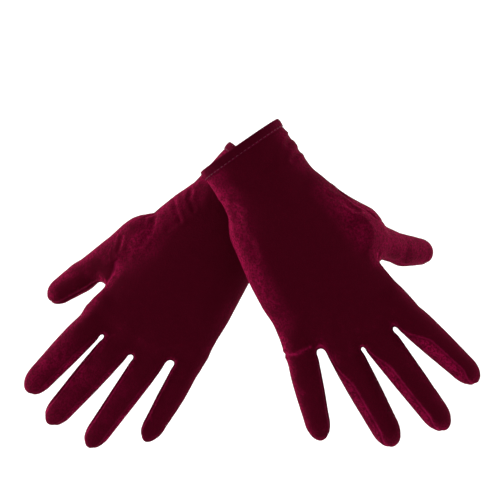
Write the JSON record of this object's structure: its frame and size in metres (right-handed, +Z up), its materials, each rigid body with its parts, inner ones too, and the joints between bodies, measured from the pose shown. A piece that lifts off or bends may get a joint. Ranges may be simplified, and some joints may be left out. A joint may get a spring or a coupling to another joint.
{
  "type": "pair of wrist-length velvet gloves",
  "caption": "Pair of short stretch-velvet dress gloves with turned-up hems, set-in thumbs and fourchettes, crossed at the cuffs with the backs of the hands to the front.",
  "frame": {"origin": "centre of the right glove's cuff opening", "axes": "+Z up, the backs of both gloves face -Y, the right glove reaches down towards +X and the left one towards -X"},
  "size_m": [0.2928, 0.0905, 0.2107],
  "materials": {
    "velvet": "burgundy stretch velvet, dark face-on and bright at the grazing edges",
    "thumb_velvet": "burgundy stretch velvet, pile lying round the thumb",
    "hem_velvet": "burgundy stretch velvet, turned in and pressed flat at the hem"
  },
  "bodies": {
    "right_hand": {"right_cuff_hem": "hem_velvet", "right_back_panel": "velvet", "right_palm_panel": "velvet", "right_thumb_gusset": "thumb_velvet", "right_fourchette_index_middle": "velvet", "right_fourchette_middle_ring": "velvet", "right_fourchette_ring_little": "velvet"},
    "right_index_base": {"right_index_base_back": "velvet", "right_index_base_palm": "velvet"},
    "right_index_tip": {"right_index_tip_back": "velvet", "right_index_tip_palm": "velvet"},
    "right_middle_base": {"right_middle_base_back": "velvet", "right_middle_base_palm": "velvet"},
    "right_middle_tip": {"right_middle_tip_back": "velvet", "right_middle_tip_palm": "velvet"},
    "right_ring_base": {"right_ring_base_back": "velvet", "right_ring_base_palm": "velvet"},
    "right_ring_tip": {"right_ring_tip_back": "velvet", "right_ring_tip_palm": "velvet"},
    "right_little_base": {"right_little_base_back": "velvet", "right_little_base_palm": "velvet"},
    "right_little_tip": {"right_little_tip_back": "velvet", "right_little_tip_palm": "velvet"},
    "right_thumb_base": {"right_thumb_base_back": "thumb_velvet", "right_thumb_base_palm": "thumb_velvet"},
    "right_thumb_tip": {"right_thumb_tip_back": "thumb_velvet", "right_thumb_tip_palm": "thumb_velvet"},
    "left_hand": {"left_cuff_hem": "hem_velvet", "left_back_panel": "velvet", "left_palm_panel": "velvet", "left_thumb_gusset": "thumb_velvet", "left_fourchette_index_middle": "velvet", "left_fourchette_middle_ring": "velvet", "left_fourchette_ring_little": "velvet"},
    "left_index_base": {"left_index_base_back": "velvet", "left_index_base_palm": "velvet"},
    "left_index_tip": {"left_index_tip_back": "velvet", "left_index_tip_palm": "velvet"},
    "left_middle_base": {"left_middle_base_back": "velvet", "left_middle_base_palm": "velvet"},
    "left_middle_tip": {"left_middle_tip_back": "velvet", "left_middle_tip_palm": "velvet"},
    "left_ring_base": {"left_ring_base_back": "velvet", "left_ring_base_palm": "velvet"},
    "left_ring_tip": {"left_ring_tip_back": "velvet", "left_ring_tip_palm": "velvet"},
    "left_little_base": {"left_little_base_back": "velvet", "left_little_base_palm": "velvet"},
    "left_little_tip": {"left_little_tip_back": "velvet", "left_little_tip_palm": "velvet"},
    "left_thumb_base": {"left_thumb_base_back": "thumb_velvet", "left_thumb_base_palm": "thumb_velvet"},
    "left_thumb_tip": {"left_thumb_tip_back": "thumb_velvet", "left_thumb_tip_palm": "thumb_velvet"}
  },
  "joints": [
    {"name": "left_glove_draws_back", "type": "slide", "parent": "right_hand", "child": "left_hand", "axis": [0, 1, 0], "range_m": [0, 0.12]},
    {"name": "right_index_knuckle", "type": "hinge", "parent": "right_hand", "child": "right_index_base", "pos_m": [0.11239, 0.00084, -0.11335], "axis": [0.6769, 0, 0.7361], "range_deg": [0, 62]},
    {"name": "right_index_middle", "type": "hinge", "parent": "right_index_base", "child": "right_index_tip", "pos_m": [0.12703, 0.00293, -0.12681], "axis": [0.6769, 0, 0.7361], "range_deg": [0, 80]},
    {"name": "right_middle_knuckle", "type": "hinge", "parent": "right_hand", "child": "right_middle_base", "pos_m": [0.09283, 0.00042, -0.12726], "axis": [0.7965, 0, 0.6046], "range_deg": [0, 62]},
    {"name": "right_middle_middle", "type": "hinge", "parent": "right_middle_base", "child": "right_middle_tip", "pos_m": [0.10732, 0.00167, -0.14635], "axis": [0.7965, 0, 0.6046], "range_deg": [0, 80]},
    {"name": "right_ring_knuckle", "type": "hinge", "parent": "right_hand", "child": "right_ring_base", "pos_m": [0.07089, 0.00166, -0.13805], "axis": [0.8771, 0, 0.4802], "range_deg": [0, 62]},
    {"name": "right_ring_middle", "type": "hinge", "parent": "right_ring_base", "child": "right_ring_tip", "pos_m": [0.08122, 0.00624, -0.15692], "axis": [0.8771, 0, 0.4802], "range_deg": [0, 80]},
    {"name": "right_little_knuckle", "type": "hinge", "parent": "right_hand", "child": "right_little_base", "pos_m": [0.04317, 0.00097, -0.14235], "axis": [0.9728, 0, 0.2317], "range_deg": [0, 62]},
    {"name": "right_little_middle", "type": "hinge", "parent": "right_little_base", "child": "right_little_tip", "pos_m": [0.04707, 0.00334, -0.15873], "axis": [0.9728, 0, 0.2317], "range_deg": [0, 80]},
    {"name": "right_thumb_knuckle", "type": "hinge", "parent": "right_hand", "child": "right_thumb_base", "pos_m": [0.08806, 0.015, -0.05806], "axis": [-0.1653, 0.4044, 0.8995], "range_deg": [0, 32]},
    {"name": "right_thumb_middle", "type": "hinge", "parent": "right_thumb_base", "child": "right_thumb_tip", "pos_m": [0.10496, 0.035, -0.06395], "axis": [-0.2632, 0.3243, 0.9086], "range_deg": [0, 56]},
    {"name": "left_index_knuckle", "type": "hinge", "parent": "left_hand", "child": "left_index_base", "pos_m": [-0.10368, 0.04042, -0.11896], "axis": [0.7236, 0, -0.6903], "range_deg": [0, 62]},
    {"name": "left_index_middle", "type": "hinge", "parent": "left_index_base", "child": "left_index_tip", "pos_m": [-0.11746, 0.04147, -0.13341], "axis": [0.7236, 0, -0.6903], "range_deg": [0, 80]},
    {"name": "left_middle_knuckle", "type": "hinge", "parent": "left_hand", "child": "left_middle_base", "pos_m": [-0.08599, 0.04056, -0.13352], "axis": [0.7495, 0, -0.662], "range_deg": [0, 62]},
    {"name": "left_middle_middle", "type": "hinge", "parent": "left_middle_base", "child": "left_middle_tip", "pos_m": [-0.10184, 0.04223, -0.15146], "axis": [0.7495, 0, -0.662], "range_deg": [0, 80]},
    {"name": "left_ring_knuckle", "type": "hinge", "parent": "left_hand", "child": "left_ring_base", "pos_m": [-0.06539, 0.04028, -0.14594], "axis": [0.8126, 0, -0.5828], "range_deg": [0, 62]},
    {"name": "left_ring_middle", "type": "hinge", "parent": "left_ring_base", "child": "left_ring_tip", "pos_m": [-0.0782, 0.04105, -0.16381], "axis": [0.8126, 0, -0.5828], "range_deg": [0, 80]},
    {"name": "left_little_knuckle", "type": "hinge", "parent": "left_hand", "child": "left_little_base", "pos_m": [-0.03904, 0.04049, -0.15195], "axis": [0.8691, 0, -0.4947], "range_deg": [0, 62]},
    {"name": "left_little_middle", "type": "hinge", "parent": "left_little_base", "child": "left_little_tip", "pos_m": [-0.04743, 0.04167, -0.16669], "axis": [0.8691, 0, -0.4947], "range_deg": [0, 80]},
    {"name": "left_thumb_knuckle", "type": "hinge", "parent": "left_hand", "child": "left_thumb_base", "pos_m": [-0.08346, 0.053, -0.06635], "axis": [0.2375, -0.6714, -0.702], "range_deg": [0, 32]},
    {"name": "left_thumb_middle", "type": "hinge", "parent": "left_thumb_base", "child": "left_thumb_tip", "pos_m": [-0.10475, 0.061, -0.08121], "axis": [0.2881, -0.6884, -0.6657], "range_deg": [0, 56]}
  ],
  "couplings": [
    {"joint": "right_index_middle", "follows": "right_index_knuckle", "ratio": 1.2903},
    {"joint": "right_middle_middle", "follows": "right_middle_knuckle", "ratio": 1.2903},
    {"joint": "right_ring_middle", "follows": "right_ring_knuckle", "ratio": 1.2903},
    {"joint": "right_little_middle", "follows": "right_little_knuckle", "ratio": 1.2903},
    {"joint": "right_thumb_middle", "follows": "right_thumb_knuckle", "ratio": 1.75},
    {"joint": "left_index_middle", "follows": "left_index_knuckle", "ratio": 1.2903},
    {"joint": "left_middle_middle", "follows": "left_middle_knuckle", "ratio": 1.2903},
    {"joint": "left_ring_middle", "follows": "left_ring_knuckle", "ratio": 1.2903},
    {"joint": "left_little_middle", "follows": "left_little_knuckle", "ratio": 1.2903},
    {"joint": "left_thumb_middle", "follows": "left_thumb_knuckle", "ratio": 1.75}
  ]
}
